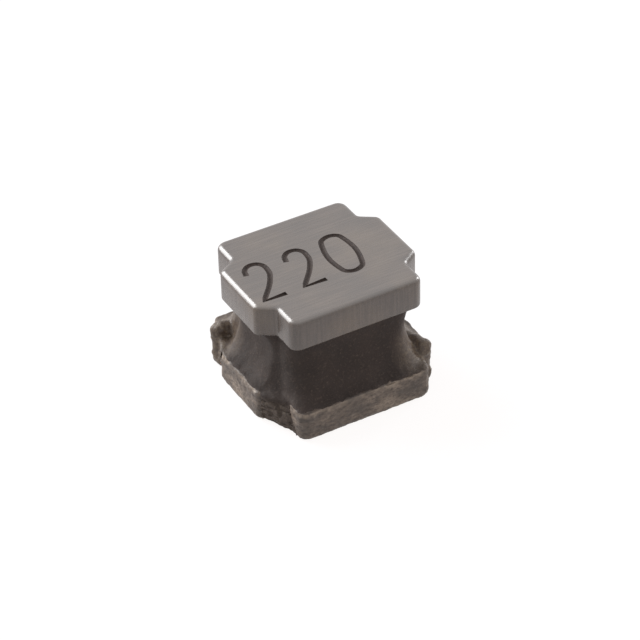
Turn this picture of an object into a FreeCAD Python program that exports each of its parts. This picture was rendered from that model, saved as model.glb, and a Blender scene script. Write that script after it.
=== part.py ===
import FreeCAD, Part
import math
import os

import Sketcher
from FreeCAD import Placement, Rotation, Vector

# Shielded surface-mount power inductor, 6.0 mm class, in millimetres.
# Origin: bottom centre, on the plane that the two terminals stand on.
# +X runs from the left terminal to the right one, +Y to the back, +Z up through the post.

SIZES = [
    # The lower flange: two corner blocks at each end in Y and a wider middle block between them.
    ("bottom_width", 6.00, "lower flange over the middle block, along X"),
    ("bottom_notch_depth", 0.62, "how far its corner blocks stand back from the middle block, along X"),
    ("bottom_length", 6.00, "lower flange along Y"),
    ("bottom_mid_length", 2.36, "outer face of the lower middle block, along Y"),
    ("bottom_flank_length", 0.59, "slanted flank of the lower middle block, along Y"),
    ("bottom_thickness", 1.04, "lower flange"),
    # The upper flange has the same plan, and is shorter along Y.
    ("top_width", 5.80, "upper flange over the middle block, along X"),
    ("top_notch_depth", 0.56, "how far its corner blocks stand back from the middle block, along X"),
    ("top_length", 5.07, "upper flange along Y"),
    ("top_mid_length", 2.26, "outer face of the upper middle block, along Y"),
    ("top_flank_length", 0.38, "slanted flank of the upper middle block, along Y"),
    ("top_thickness", 1.08, "upper flange"),
    # Pressed and tumbled edges of the core.
    ("corner_radius", 0.34, "upright edges at the four corners"),
    ("shoulder_radius", 0.24, "upright edges of the middle blocks"),
    ("notch_radius", 0.16, "upright inner edges of the notches"),
    ("top_rim_radius", 0.17, "upper rim of the upper flange"),
    ("inner_rim_bevel", 0.06, "rims that face the winding space"),
    ("bottom_rim_bevel", 0.08, "lower rim of the lower flange"),
    ("post_root_bevel", 0.08, "where the post meets the flanges"),
    # The post and the space for the winding.
    ("post_radius", 1.25, "winding post"),
    ("window_height", 2.16, "space between the flanges"),
    # The enamelled wire.
    ("wire_diameter", 0.36, "over the enamel"),
    ("wire_clearance", 0.03, "between wire and ferrite"),
    ("turn_gap", 0.02, "least gap between neighbouring turns and layers"),
    ("lead_bend_radius", 0.30, "centre line of the bends in the two lead ends"),
    ("lead_reach", 1.05, "how far a lead end runs past the middle of its groove"),
    # The metallised terminals with their grooves, and the solder over the lead ends.
    ("terminal_thickness", 0.05, "metallised coat"),
    ("terminal_width", 1.35, "along X"),
    ("terminal_length", 4.00, "along Y"),
    ("terminal_margin", 0.10, "from the flange's outline"),
    ("groove_depth", 0.46, "from the underside of the flange"),
    ("solder_gap", 0.02, "solder between a lead end and the coated groove"),
    ("solder_dip", 0.03, "hollow of the solder above the terminal's face"),
    ("solder_fit", 0.005, "between the solder and the wire"),
    # The magnetic resin around the winding: its outline at the foot, the waist and the head.
    ("foot_margin", 0.04, "inside the lower flange's outline"),
    ("foot_corner_cut", 0.20, "off the corners of the foot"),
    ("head_margin", 0.18, "inside the upper flange's outline"),
    ("head_corner_cut", 0.30, "off the corners of the head"),
    ("waist_side_wall", 0.21, "resin over the winding at the waist's swelling, along X"),
    ("waist_corner_wall", 0.09, "resin over the winding beside that swelling, along X"),
    ("waist_end_wall", 0.185, "resin over the winding at the waist's ends, along Y"),
    ("waist_mid_length", 2.10, "swelling in front of the middle blocks, along Y"),
    ("waist_flank_length", 0.30, "flanks of that swelling, along Y"),
    ("waist_corner_cut", 0.50, "off the corners of the waist"),
    ("waist_height", 1.28, "above the lower flange"),
    ("resin_clearance", 0.05, "around the winding and its leads"),
]

CROSSING = 20.0      # degrees that the outer layer stays above the first lead beyond its turn-off
LONGEST_PAIR = 0.34  # part of a turn that a pair of arcs spans at most
WIRE_FLATS = 8       # flats around the wire, in place of a circle
LAYER_CHANGE = 0.25  # part of a turn in which the wire climbs from the inner to the outer layer
COVE_LEVELS = (0.15, 0.47)  # shares of the waist's height at which the hollow curve is drawn
NEAR = 1e-4          # two places closer than this are the same
CLOSE_BY = 0.02      # how near a designed corner an edge's middle lies
WIRE_ERROR = 0.01    # how far the wire's volume may be from its section times its length

doc = FreeCAD.newDocument("smd_inductor")
sheet = doc.addObject("Spreadsheet::Sheet", "Sizes")
for row, (alias, value, note) in enumerate(SIZES, start=1):
    sheet.set(f"A{row}", alias)
    sheet.set(f"B{row}", str(value))
    sheet.set(f"C{row}", note)
    sheet.setAlias(f"B{row}", alias)
doc.recompute()


def size(alias):
    """The present value of one cell of the sheet."""
    return float(sheet.get(alias))


def plane(body, role):
    """One of the body's own origin planes."""
    return next(item for item in body.Origin.OriginFeatures if item.Role == role)


def sketch_on(body, name, role, offset="0"):
    """A sketch attached to an origin plane of its body, at an offset along the plane's normal."""
    sketch = body.newObject("Sketcher::SketchObject", name)
    sketch.AttachmentSupport = [(plane(body, role), "")]
    sketch.MapMode = "FlatFace"
    sketch.setExpression("AttachmentOffset.Base.z", offset)
    return sketch


def dimension(sketch, name, formula, kind, *args):
    """A named dimension that follows a formula of the sheet."""
    value = float(sheet.evalExpression(formula))
    index = sketch.addConstraint(Sketcher.Constraint(kind, *args, value))
    sketch.renameConstraint(index, name)
    sketch.setExpression(f"Constraints.{name}", formula)


def closed_lines(sketch, corners):
    """Lines from corner to corner, joined end to start."""
    count = len(corners)
    for i in range(count):
        start = Vector(*corners[i], 0)
        end = Vector(*corners[(i + 1) % count], 0)
        sketch.addGeometry(Part.LineSegment(start, end))
    for i in range(count):
        sketch.addConstraint(Sketcher.Constraint("Coincident", i, 2, (i + 1) % count, 1))


def blocked_outline(sketch, width, corner_width, length, mid_length, flank_length, corner_cut=""):
    """Outline with corner blocks and a wider middle block, symmetric about both axes.

    A corner cut takes the same length off both sides of each corner. The first places are
    rough ones, which the dimensions then correct.
    """
    outer, inner, end, mid, root, cut = 3.0, 2.4, 2.8, 1.2, 1.6, 0.2
    quarter = [(inner, -end), (inner, -root), (outer, -mid)]
    if corner_cut:
        quarter = [(inner - cut, -end), (inner, -end + cut), (inner, -root), (outer, -mid)]
    half = quarter + [(x, -y) for x, y in reversed(quarter)]
    closed_lines(sketch, half + [(-x, -y) for x, y in half])

    def front_to_back(index):
        return len(half) - 1 - index

    def right_to_left(index):
        return 2 * len(half) - 1 - index

    x_axis, y_axis = -1, -2
    for i in range(len(quarter)):
        back = front_to_back(i)
        for first, second, axis in (
            (i, back, x_axis), (i, right_to_left(i), y_axis), (back, right_to_left(back), y_axis),
        ):
            sketch.addConstraint(Sketcher.Constraint("Symmetric", first, 1, second, 1, axis))
    corner, root, shoulder = range(len(quarter) - 3, len(quarter))
    sketch.addConstraint(Sketcher.Constraint("Vertical", corner))
    dimension(sketch, "corner_width", corner_width, "DistanceX", right_to_left(corner), 1, corner, 1)
    dimension(sketch, "length", length, "DistanceY", 0, 1, front_to_back(0), 1)
    dimension(sketch, "root_length", f"{mid_length} + 2 * ({flank_length})", "DistanceY",
              root, 1, front_to_back(root), 1)
    dimension(sketch, "width", width, "DistanceX", right_to_left(shoulder), 1, shoulder, 1)
    dimension(sketch, "mid_length", mid_length, "DistanceY", shoulder, 1, front_to_back(shoulder), 1)
    if corner_cut:
        dimension(sketch, "cut_across", corner_cut, "DistanceX", 0, 1, corner, 1)
        dimension(sketch, "cut_along", corner_cut, "DistanceY", 0, 1, corner, 1)


def arc_ends(sketch, index, right):
    """Which ends of an arc, 1 or 2, lie at its right and at its left."""
    at_right = abs(sketch.getPoint(index, 1).x - right) < NEAR
    return (1, 2) if at_right else (2, 1)


def box_outline(sketch, left, right, half_length):
    """Rectangle from left to right, symmetric about the X axis of the sketch."""
    closed_lines(sketch, [(1, -1), (2, -1), (2, 1), (1, 1)])
    for line in (0, 2):
        sketch.addConstraint(Sketcher.Constraint("Horizontal", line))
    sketch.addConstraint(Sketcher.Constraint("Vertical", 1))
    sketch.addConstraint(Sketcher.Constraint("Symmetric", 0, 1, 3, 1, -1))
    dimension(sketch, "left", left, "DistanceX", -1, 1, 0, 1)
    dimension(sketch, "right", right, "DistanceX", -1, 1, 1, 1)
    dimension(sketch, "length", f"2 * ({half_length})", "DistanceY", 1, 1, 1, 2)


def circle(sketch, radius_formula):
    """A circle about the origin of the sketch."""
    sketch.addGeometry(Part.Circle(Vector(0, 0, 0), Vector(0, 0, 1), 1.0))
    sketch.addConstraint(Sketcher.Constraint("Coincident", 0, 3, -1, 1))
    dimension(sketch, "radius", radius_formula, "Radius", 0)


def pad(body, name, sketch, length, both_ways=False):
    """A pad of the sketch, upwards, or half to each side of it."""
    feature = body.newObject("PartDesign::Pad", name)
    feature.Profile = sketch
    feature.SideType = "Symmetric" if both_ways else "One side"
    feature.setExpression("Length", length)
    doc.recompute()
    return feature


def pocket(body, name, sketch, length):
    """A pocket half to each side of its sketch."""
    before = body.Shape.Volume
    feature = body.newObject("PartDesign::Pocket", name)
    feature.Profile = sketch
    feature.SideType = "Symmetric"
    feature.setExpression("Length", length)
    doc.recompute()
    if body.Shape.Volume >= before:
        raise RuntimeError(f"{name} removes nothing")
    return feature


def mirrored(body, name, feature):
    """The same feature again on the other side of the YZ plane."""
    mirror = body.newObject("PartDesign::Mirrored", name)
    mirror.Originals = [feature]
    mirror.MirrorPlane = (plane(body, "YZ_Plane"), [""])
    body.Tip = mirror
    doc.recompute()
    return mirror


def dress_up(body, kind, name, formula, wanted):
    """A Fillet or a Chamfer on every edge of the body's tip that the test wants."""
    base = body.Tip
    edges = [f"Edge{i}" for i, edge in enumerate(base.Shape.Edges, start=1) if wanted(edge)]
    if not edges:
        raise RuntimeError(f"{name} finds no edge")
    feature = body.newObject(f"PartDesign::{kind}", name)
    feature.Base = (base, edges)
    feature.setExpression({"Fillet": "Radius", "Chamfer": "Size"}[kind], formula)
    doc.recompute()
    return feature


def upright_at(x, y, low, high):
    """Test for straight upright edges at (+-x, +-y) between two heights."""
    def wanted(edge):
        ends = [vertex.Point for vertex in edge.Vertexes]
        if len(ends) != 2 or abs(ends[0].z - ends[1].z) < (high - low) / 2:
            return False
        middle = (ends[0] + ends[1]) * 0.5
        inside = low < middle.z < high
        return inside and math.hypot(abs(middle.x) - x, abs(middle.y) - y) < CLOSE_BY
    return wanted


def rim_at(height):
    """Test for edges of a flange's outline that lie at one height."""
    outside_post = size("post_radius") + CLOSE_BY

    def wanted(edge):
        points = edge.discretize(3)
        level = all(abs(point.z - height) < NEAR for point in points)
        return level and all(math.hypot(point.x, point.y) > outside_post for point in points)
    return wanted


def post_root(edge):
    """Test for the two circles where the post meets the flanges."""
    level = any(abs(edge.CenterOfMass.z - height) < NEAR for height in (flange_top, window_top))
    return level and abs(edge.Length - 2 * math.pi * size("post_radius")) < NEAR


# Heights and places that several pieces share.
CORE_FOOT = "Sizes.terminal_thickness"
FLANGE_TOP = f"({CORE_FOOT} + Sizes.bottom_thickness)"
WINDOW_TOP = f"({FLANGE_TOP} + Sizes.window_height)"
CORE_TOP = f"({WINDOW_TOP} + Sizes.top_thickness)"
BOTTOM_CORNER_WIDTH = "(Sizes.bottom_width - 2 * Sizes.bottom_notch_depth)"
TOP_CORNER_WIDTH = "(Sizes.top_width - 2 * Sizes.top_notch_depth)"
LEAD_X = f"({BOTTOM_CORNER_WIDTH} / 2 + Sizes.wire_diameter / 2 + Sizes.solder_gap)"
CHANNEL_HALF = "(Sizes.wire_diameter / 2 + Sizes.solder_gap)"
GROOVE_HALF = f"({CHANNEL_HALF} + Sizes.terminal_thickness)"
LEAD_Z = "(Sizes.groove_depth - Sizes.solder_gap - Sizes.wire_diameter / 2)"
ROOM_RADIUS = ("(Sizes.post_radius + Sizes.wire_clearance + 2 * Sizes.wire_diameter + Sizes.turn_gap"
               " + Sizes.resin_clearance)")
ROOT_LENGTH = "(Sizes.bottom_mid_length + 2 * Sizes.bottom_flank_length)"
# The metallised groove stops short of the slanted flank that its outer wall runs out on.
OUTER_WALL = f"(Sizes.bottom_width / 2 - {LEAD_X} - {GROOVE_HALF})"
COAT_HALF = (f"({ROOT_LENGTH} / 2 - Sizes.terminal_margin - Sizes.bottom_flank_length"
             f" * (1 - {OUTER_WALL} / Sizes.bottom_notch_depth))")

core_foot = size("terminal_thickness")
flange_top = core_foot + size("bottom_thickness")
window_top = flange_top + size("window_height")
core_top = window_top + size("top_thickness")
wire_radius = size("wire_diameter") / 2
lead_x = size("bottom_width") / 2 - size("bottom_notch_depth") + wire_radius + size("solder_gap")
lead_z = size("groove_depth") - size("solder_gap") - wire_radius
coil_bottom = flange_top + size("wire_clearance") + wire_radius
coil_top = window_top - size("wire_clearance") - wire_radius
inner_radius = size("post_radius") + size("wire_clearance") + wire_radius
outer_radius = inner_radius + size("wire_diameter") + size("turn_gap")


def flange_outline(body, flange, corner_width, foot):
    """The blocked outline of the bottom or top flange, at the height of its foot."""
    outline = sketch_on(body, f"{flange}_outline", "XY_Plane", foot)
    blocked_outline(
        outline, f"Sizes.{flange}_width", corner_width, f"Sizes.{flange}_length",
        f"Sizes.{flange}_mid_length", f"Sizes.{flange}_flank_length",
    )
    return outline


def round_upright_edges(body, flange, low, high):
    """The tumbled upright edges of a flange: its corners, its middle blocks and its notches."""
    outer = size(f"{flange}_width") / 2
    inner = outer - size(f"{flange}_notch_depth")
    mid = size(f"{flange}_mid_length") / 2
    places = [
        ("corner", inner, size(f"{flange}_length") / 2),
        ("shoulder", outer, mid),
        ("notch", inner, mid + size(f"{flange}_flank_length")),
    ]
    for edge, x, y in places:
        wanted = upright_at(x, y, low, high)
        dress_up(body, "Fillet", f"{flange}_{edge}_rounding", f"Sizes.{edge}_radius", wanted)


def make_drum_core():
    """Pressed ferrite drum: lower flange, post and upper flange in one piece."""
    body = doc.addObject("PartDesign::Body", "drum_core")
    outline = flange_outline(body, "bottom", BOTTOM_CORNER_WIDTH, CORE_FOOT)
    pad(body, "bottom_flange", outline, "Sizes.bottom_thickness")
    section = sketch_on(body, "post_section", "XY_Plane", FLANGE_TOP)
    circle(section, "Sizes.post_radius")
    pad(body, "post", section, "Sizes.window_height")
    outline = flange_outline(body, "top", TOP_CORNER_WIDTH, WINDOW_TOP)
    pad(body, "top_flange", outline, "Sizes.top_thickness")

    round_upright_edges(body, "bottom", core_foot, flange_top)
    round_upright_edges(body, "top", window_top, core_top)
    dress_up(body, "Fillet", "top_rim", "Sizes.top_rim_radius", rim_at(core_top))
    dress_up(body, "Chamfer", "bottom_rim", "Sizes.bottom_rim_bevel", rim_at(core_foot))
    dress_up(body, "Chamfer", "lower_inner_rim", "Sizes.inner_rim_bevel", rim_at(flange_top))
    dress_up(body, "Chamfer", "upper_inner_rim", "Sizes.inner_rim_bevel", rim_at(window_top))
    dress_up(body, "Chamfer", "post_roots", "Sizes.post_root_bevel", post_root)

    # A groove for each lead end runs along Y under the middle block, from notch to notch.
    section = sketch_on(body, "groove_section", "XZ_Plane")
    depth = f"({CORE_FOOT} + Sizes.groove_depth)"
    box_outline(section, f"{LEAD_X} - {GROOVE_HALF}", f"{LEAD_X} + {GROOVE_HALF}", depth)
    groove = pocket(body, "right_groove", section, ROOT_LENGTH)
    mirrored(body, "left_groove", groove)
    return body


def tangent_arc(first, corner, last):
    """The arc that leaves first and reaches last tangent to the two lines through the corner."""
    back = (first - corner).normalize()
    ahead = (last - corner).normalize()
    half_turn = (math.pi - back.getAngle(ahead)) / 2
    radius = (first - corner).Length / math.tan(half_turn)
    middle = corner + (back + ahead).normalize() * radius * (1 / math.cos(half_turn) - 1)
    return Part.Arc(first, middle, last).toShape()


def rounded_route(points, radius):
    """Edges of straight runs from point to point, joined by tangent arcs."""
    edges = []
    start = points[0]
    for before, corner, after in zip(points, points[1:], points[2:]):
        back = (before - corner).normalize()
        ahead = (after - corner).normalize()
        reach = radius * math.tan((math.pi - back.getAngle(ahead)) / 2)
        first = corner + back * reach
        last = corner + ahead * reach
        edges.append(Part.LineSegment(start, first).toShape())
        edges.append(tangent_arc(first, corner, last))
        start = last
    edges.append(Part.LineSegment(start, points[-1]).toShape())
    return edges


def arc_pair(start, start_way, end, end_way):
    """Two arcs that join smoothly and have the given directions at their far ends."""
    chord = end - start
    ways = start_way + end_way
    spread = 2 * (1 - start_way.dot(end_way))
    along = chord.dot(ways)
    reach = (math.sqrt(along * along + spread * chord.dot(chord)) - along) / spread
    first_corner = start + start_way * reach
    second_corner = end - end_way * reach
    join = (first_corner + second_corner) * 0.5
    return [tangent_arc(start, first_corner, join), tangent_arc(join, second_corner, end)]


def tube(path, radius, sides=0):
    """A wire along a path of joined edges: round, or with a number of flats to keep its faces few."""
    start = path.OrderedVertexes[0].Point
    first = path.OrderedEdges[0]
    direction = first.tangentAt(first.FirstParameter)
    ring = Part.makeCircle(radius, start, direction)
    if sides:
        corners = ring.discretize(sides + 1)
        section = Part.makePolygon(corners[:-1] + corners[:1])
    else:
        section = Part.Wire([ring])
    return path.makePipeShell([section], True, False)


def lead_corner(side, height):
    """Where a lead end turns in its notch: side 1 is front right, side -1 is back left."""
    root = size("bottom_mid_length") / 2 + size("bottom_flank_length")
    return Vector(side * lead_x, -side * (root + size("lead_bend_radius")), height)


def lead_off_angle(side, radius):
    """Angle about the post at which a lead end leaves its layer, straight towards its notch."""
    corner = lead_corner(side, 0)
    return math.atan2(corner.y, corner.x) + side * math.acos(radius / corner.Length)


def on_coil(angle, radius, height):
    """A point of the winding, by its angle about the post."""
    return Vector(radius * math.cos(angle), radius * math.sin(angle), height)


def lead_route(side, radius, groove_run=True):
    """A lead end from its layer over the lower flange, down the notch and along the groove."""
    points = [
        on_coil(lead_off_angle(side, radius), radius, coil_bottom),
        lead_corner(side, coil_bottom),
        lead_corner(side, lead_z),
    ]
    if groove_run:
        points.append(Vector(side * lead_x, side * size("lead_reach"), lead_z))
    return rounded_route(points, size("lead_bend_radius"))


def coil_route():
    """Two layers wound clockwise, seen from above: the inner one climbs and the outer one comes down."""
    step = size("wire_diameter") + size("turn_gap")
    start_angle = lead_off_angle(-1, inner_radius)
    end_angle = lead_off_angle(1, outer_radius)
    part_turn = (start_angle - end_angle) / (2 * math.pi) % 1.0
    drop_turn = part_turn + CROSSING / 360
    inner_turns = int((coil_top - coil_bottom) / step)
    outer_turns = int((coil_top - coil_bottom - step) / step + drop_turn)
    outer_total = outer_turns + part_turn
    over_lead = outer_total - drop_turn
    total = inner_turns + outer_total

    def height(turn):
        if turn <= inner_turns:
            return coil_bottom + (coil_top - coil_bottom) * turn / inner_turns
        down = turn - inner_turns
        if down <= over_lead:
            return coil_top - (coil_top - coil_bottom - step) * down / over_lead
        return coil_bottom + step * (outer_total - down) / drop_turn

    def radius(turn):
        part = min(max((turn - inner_turns) / LAYER_CHANGE, 0.0), 1.0)
        return inner_radius + (outer_radius - inner_radius) * part * part * (3 - 2 * part)

    def point(turn):
        return on_coil(start_angle - 2 * math.pi * turn, radius(turn), height(turn))

    def way(turn):
        if turn in (0, total):
            angle = start_angle if turn == 0 else end_angle
            return Vector(math.sin(angle), -math.cos(angle), 0)
        nudge = 0.01
        return (point(turn + nudge) - point(turn - nudge)).normalize()

    stages = [0, inner_turns, inner_turns + LAYER_CHANGE, inner_turns + over_lead, total]
    turns = [0]
    for stage, next_stage in zip(stages, stages[1:]):
        count = math.ceil((next_stage - stage) / LONGEST_PAIR)
        turns += [stage + (next_stage - stage) * (i + 1) / count for i in range(count)]
    edges = []
    for turn, following in zip(turns, turns[1:]):
        edges += arc_pair(point(turn), way(turn), point(following), way(following))
    return edges, total


def make_winding():
    """Enamelled copper wire: two layers on the post and two lead ends hooked into the grooves."""
    first_lead = lead_route(-1, inner_radius)
    last_lead = lead_route(1, outer_radius)
    coil, turns = coil_route()
    path = Part.Wire(Part.sortEdges(first_lead + coil + last_lead)[0])
    shape = tube(path, wire_radius, WIRE_FLATS)
    section_area = WIRE_FLATS / 2 * math.sin(2 * math.pi / WIRE_FLATS) * wire_radius ** 2
    expected = path.Length * section_area
    if abs(shape.Volume / expected - 1) > WIRE_ERROR:
        raise RuntimeError(f"the wire's volume is {shape.Volume:.3f}, expected {expected:.3f}")
    feature = doc.addObject("Part::Feature", "winding")
    feature.Shape = shape
    feature.Placement = Placement()
    print(f"wire: {turns:.2f} turns, {path.Length:.1f} mm long")
    return feature


def inside_flange(flange, corner_width, level):
    """Sizes of a resin outline that lies a margin inside a flange's outline."""
    inset = f"2 * Sizes.{level}_margin"
    return [
        f"Sizes.{flange}_width - {inset}", f"{corner_width} - {inset}", f"Sizes.{flange}_length - {inset}",
        f"Sizes.{flange}_mid_length - {inset}", f"Sizes.{flange}_flank_length",
        f"Sizes.{level}_corner_cut",
    ]


def make_resin_shield():
    """Magnetic resin between the flanges: hollow around the winding, and outside a cove from the
    lower flange's rim up to a waist, and a flare to the upper flange.
    """
    form = doc.addObject("PartDesign::Body", "resin_form")
    foot = inside_flange("bottom", BOTTOM_CORNER_WIDTH, "foot")
    head = inside_flange("top", TOP_CORNER_WIDTH, "head")
    waist = [
        f"2 * ({ROOM_RADIUS} + Sizes.waist_side_wall)",
        f"2 * ({ROOM_RADIUS} + Sizes.waist_corner_wall)",
        f"2 * ({ROOM_RADIUS} + Sizes.waist_end_wall)",
        "Sizes.waist_mid_length", "Sizes.waist_flank_length", "Sizes.waist_corner_cut",
    ]
    levels = [("foot_outline", FLANGE_TOP, foot)]
    for i, part in enumerate(COVE_LEVELS, start=1):
        drawn_in = math.sqrt(1 - (1 - part) ** 2)
        sizes = [f"({low}) * {1 - drawn_in} + ({high}) * {drawn_in}" for low, high in zip(foot, waist)]
        levels.append((f"cove_outline_{i}", f"{FLANGE_TOP} + Sizes.waist_height * {part}", sizes))
    levels.append(("waist_outline", f"{FLANGE_TOP} + Sizes.waist_height", waist))
    levels.append(("head_outline", WINDOW_TOP, head))
    outlines = []
    for name, height, sizes in levels:
        outlines.append(sketch_on(form, name, "XY_Plane", height))
        blocked_outline(outlines[-1], *sizes)
    doc.recompute()
    loft = form.newObject("PartDesign::AdditiveLoft", "waisted_form")
    loft.Profile = outlines[0]
    loft.Sections = outlines[1:]
    doc.recompute()

    room = Part.makeCylinder(
        outer_radius + wire_radius + size("resin_clearance"), size("window_height"),
        Vector(0, 0, flange_top),
    )
    for side, radius in ((-1, inner_radius), (1, outer_radius)):
        lead = Part.Wire(lead_route(side, radius, groove_run=False))
        room = room.fuse(tube(lead, wire_radius + size("resin_clearance")))
    tool = doc.addObject("Part::Feature", "winding_room")
    tool.Shape = room
    shield = doc.addObject("Part::Cut", "resin_shield")
    shield.Base = form
    shield.Tool = tool
    doc.recompute()
    return shield


def make_terminal(name, turn):
    """Metallised coat on the underside of a middle block, folded into its groove."""
    body = doc.addObject("PartDesign::Body", name)
    outline = sketch_on(body, "coat_outline", "XY_Plane")
    left, inner, outer, end, root, mid = 1.5, 2.3, 2.9, 2.0, 1.6, 1.0
    closed_lines(outline, [
        (left, -end), (inner, -end), (inner, -root), (outer, -mid),
        (outer, mid), (inner, root), (inner, end), (left, end),
    ])
    for first, second in ((0, 7), (1, 6), (2, 5), (3, 4)):
        outline.addConstraint(Sketcher.Constraint("Symmetric", first, 1, second, 1, -1))
    outline.addConstraint(Sketcher.Constraint("Horizontal", 0))
    outline.addConstraint(Sketcher.Constraint("Vertical", 1))
    margin = "Sizes.terminal_margin"
    edge = f"Sizes.bottom_width / 2 - {margin}"
    dimension(outline, "inner_edge", f"{edge} - Sizes.terminal_width", "DistanceX", -1, 1, 0, 1)
    dimension(outline, "corner_edge", f"{BOTTOM_CORNER_WIDTH} / 2 - {margin}", "DistanceX", -1, 1, 1, 1)
    dimension(outline, "outer_edge", edge, "DistanceX", -1, 1, 3, 1)
    dimension(outline, "length", "Sizes.terminal_length", "DistanceY", 0, 1, 7, 1)
    dimension(outline, "root_length", f"{ROOT_LENGTH} - 2 * {margin}", "DistanceY", 2, 1, 5, 1)
    dimension(outline, "mid_length", f"Sizes.bottom_mid_length - 2 * {margin}", "DistanceY", 3, 1, 4, 1)
    pad(body, "coat", outline, "Sizes.terminal_thickness")

    lining = sketch_on(body, "lining_outline", "XY_Plane")
    box_outline(lining, f"{LEAD_X} - {GROOVE_HALF}", f"{LEAD_X} + {GROOVE_HALF}", COAT_HALF)
    pad(body, "lining", lining, f"{CORE_FOOT} + Sizes.groove_depth")
    channel = sketch_on(body, "channel_section", "XZ_Plane")
    left, right = f"{LEAD_X} - {CHANNEL_HALF}", f"{LEAD_X} + {CHANNEL_HALF}"
    box_outline(channel, left, right, "Sizes.groove_depth")
    pocket(body, "channel", channel, "2 * Sizes.terminal_length")
    body.Placement = Placement(Vector(), Rotation(Vector(0, 0, 1), turn))
    return body


def make_solder(name, turn):
    """Tin solder that fills the coated groove around a lead end, with a slightly hollow face below."""
    body = doc.addObject("PartDesign::Body", name)
    section = sketch_on(body, "solder_section", "XZ_Plane")
    half, top, dip = wire_radius + size("solder_gap"), size("groove_depth"), size("solder_dip")
    left, right = lead_x - half, lead_x + half
    walls = [(right, 0), (right, top), (left, top), (left, 0)]
    for start, end in zip(walls, walls[1:]):
        section.addGeometry(Part.LineSegment(Vector(*start, 0), Vector(*end, 0)))
    section.addGeometry(Part.Arc(Vector(right, 0, 0), Vector(lead_x, dip, 0), Vector(left, 0, 0)))
    for join in ((0, 2, 1, 1), (1, 2, 2, 1)):
        section.addConstraint(Sketcher.Constraint("Coincident", *join))
    arc_right, arc_left = arc_ends(section, 3, right)
    section.addConstraint(Sketcher.Constraint("Coincident", 0, 1, 3, arc_right))
    section.addConstraint(Sketcher.Constraint("Coincident", 2, 2, 3, arc_left))
    for line, kind in ((0, "Vertical"), (1, "Horizontal"), (2, "Vertical")):
        section.addConstraint(Sketcher.Constraint(kind, line))
    section.addConstraint(Sketcher.Constraint("PointOnObject", 0, 1, -1))
    section.addConstraint(Sketcher.Constraint("PointOnObject", 2, 2, -1))
    dimension(section, "left", f"{LEAD_X} - {CHANNEL_HALF}", "DistanceX", -1, 1, 2, 2)
    dimension(section, "right", f"{LEAD_X} + {CHANNEL_HALF}", "DistanceX", -1, 1, 0, 1)
    dimension(section, "depth", "Sizes.groove_depth", "DistanceY", 0, 1, 0, 2)
    hollow = f"({CHANNEL_HALF} * {CHANNEL_HALF} / Sizes.solder_dip + Sizes.solder_dip) / 2"
    dimension(section, "hollow", hollow, "Radius", 3)
    pad(body, "filling", section, f"2 * {COAT_HALF}", both_ways=True)

    hole = sketch_on(body, "wire_section", "XZ_Plane", COAT_HALF)
    hole.addGeometry(Part.Circle(Vector(lead_x, lead_z, 0), Vector(0, 0, 1), wire_radius))
    dimension(hole, "x", LEAD_X, "DistanceX", -1, 1, 0, 3)
    dimension(hole, "z", LEAD_Z, "DistanceY", -1, 1, 0, 3)
    dimension(hole, "radius", "Sizes.wire_diameter / 2 + Sizes.solder_fit", "Radius", 0)
    before = body.Shape.Volume
    bore = body.newObject("PartDesign::Pocket", "wire_bore")
    bore.Profile = hole
    bore.setExpression("Length", f"{COAT_HALF} + Sizes.lead_reach + Sizes.solder_fit")
    doc.recompute()
    if body.Shape.Volume >= before:
        raise RuntimeError(f"the wire bore of {name} removes nothing")
    body.Placement = Placement(Vector(), Rotation(Vector(0, 0, 1), turn))
    return body


def check_object(obj):
    """Stops the run if an object of the document failed."""
    if any(state in ("Invalid", "Error") for state in obj.State):
        raise RuntimeError(f"{obj.Label} is {obj.State}")


def check_piece(piece):
    """Stops the run unless the piece is one valid solid."""
    shape = piece.Shape
    if shape.isNull() or not shape.isValid() or len(shape.Solids) != 1:
        raise RuntimeError(f"{piece.Label} is not one valid solid")


pieces = [
    make_drum_core(),
    make_winding(),
    make_resin_shield(),
    make_terminal("terminal_left", 180),
    make_terminal("terminal_right", 0),
    make_solder("solder_left", 180),
    make_solder("solder_right", 0),
]
doc.recompute()
for obj in doc.Objects:
    check_object(obj)
os.makedirs("parts", exist_ok=True)
for piece in pieces:
    check_piece(piece)
    piece.Shape.exportStep(f"parts/{piece.Label}.step")
    box = piece.Shape.BoundBox
    extent = f"{box.XLength:.2f} x {box.YLength:.2f} x {box.ZLength:.2f} mm"
    print(f"{piece.Label}: {piece.Shape.Volume:.3f} mm3, {extent}")
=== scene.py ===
import math

import bmesh
import bpy
from mathutils import Matrix, Vector, noise


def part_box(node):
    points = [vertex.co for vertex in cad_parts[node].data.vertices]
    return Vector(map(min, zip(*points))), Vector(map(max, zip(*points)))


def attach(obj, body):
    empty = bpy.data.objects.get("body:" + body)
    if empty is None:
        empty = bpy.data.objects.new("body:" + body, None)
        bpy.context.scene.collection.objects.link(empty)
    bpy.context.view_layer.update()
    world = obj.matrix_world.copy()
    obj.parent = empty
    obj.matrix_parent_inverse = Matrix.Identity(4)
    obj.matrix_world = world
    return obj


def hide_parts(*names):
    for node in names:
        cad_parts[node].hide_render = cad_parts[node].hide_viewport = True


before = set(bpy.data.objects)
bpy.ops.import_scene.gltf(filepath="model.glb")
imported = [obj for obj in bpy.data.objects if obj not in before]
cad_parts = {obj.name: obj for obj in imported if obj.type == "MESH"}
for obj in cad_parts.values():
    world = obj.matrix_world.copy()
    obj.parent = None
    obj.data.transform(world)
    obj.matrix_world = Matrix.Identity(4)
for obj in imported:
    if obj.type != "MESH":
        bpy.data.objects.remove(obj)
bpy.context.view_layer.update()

# The drum core: nickel-zinc ferrite powder pressed to a spool, fired and tumbled.
# Its top is ground flat and carries a number. Its lower flange came out of the mould rough,
# and it is chipped at the rims and smeared with resin from the filling.
METRE = 1000.0  # millimetres, in which each piece is modelled before it is scaled to metres

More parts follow.
